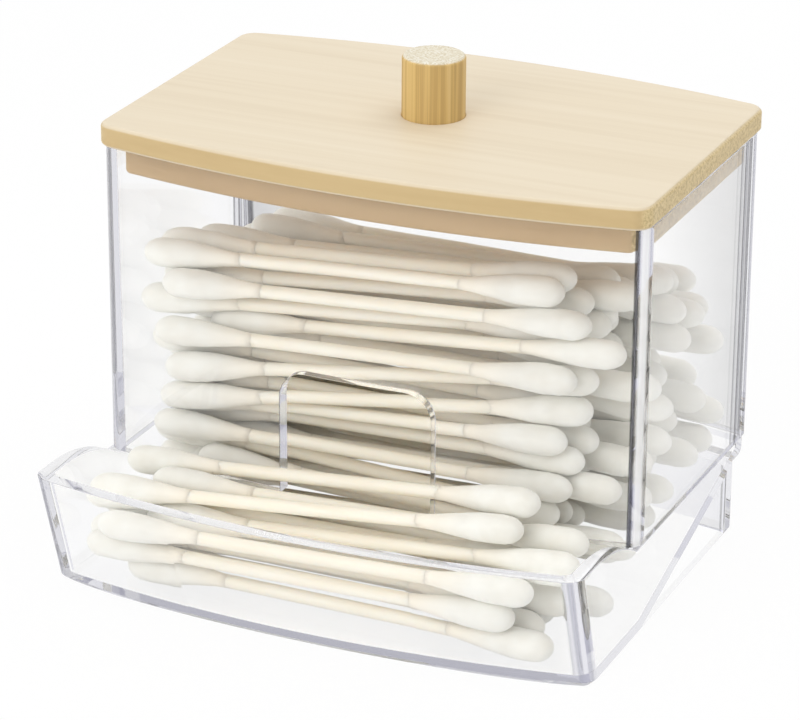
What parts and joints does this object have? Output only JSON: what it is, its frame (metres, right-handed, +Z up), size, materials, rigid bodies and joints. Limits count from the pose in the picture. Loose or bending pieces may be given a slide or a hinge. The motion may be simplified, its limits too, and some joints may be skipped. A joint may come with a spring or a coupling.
{
  "type": "clear cotton swab dispenser box with wooden lid",
  "caption": "Upright clear hopper of cotton swabs on a base that reaches forward as a scoop tray, closed by a lift-off wooden lid with a dowel knob.",
  "frame": {"origin": "on the table, under the middle of the box around the whole object", "axes": "+Z up, -Y towards the tray in front, +X to the right seen from the front"},
  "size_m": [0.093, 0.0869, 0.082],
  "materials": {
    "clear_plastic": "polished clear moulding",
    "light_wood": "fine sanded, unlacquered",
    "paper_stick": "matt rolled paper",
    "cotton": "wound loose fibre"
  },
  "bodies": {
    "box": {"hopper": "clear_plastic", "tray_base": "clear_plastic", "swab_sticks": "paper_stick", "swab_buds": "cotton"},
    "lid": {"lid_board": "light_wood", "lid_plug": "light_wood", "lid_knob": "light_wood"}
  },
  "joints": [
    {"name": "lid_lift", "type": "slide", "parent": "box", "child": "lid", "axis": [0, 0, 1], "range_m": [0, 0.04]}
  ]
}
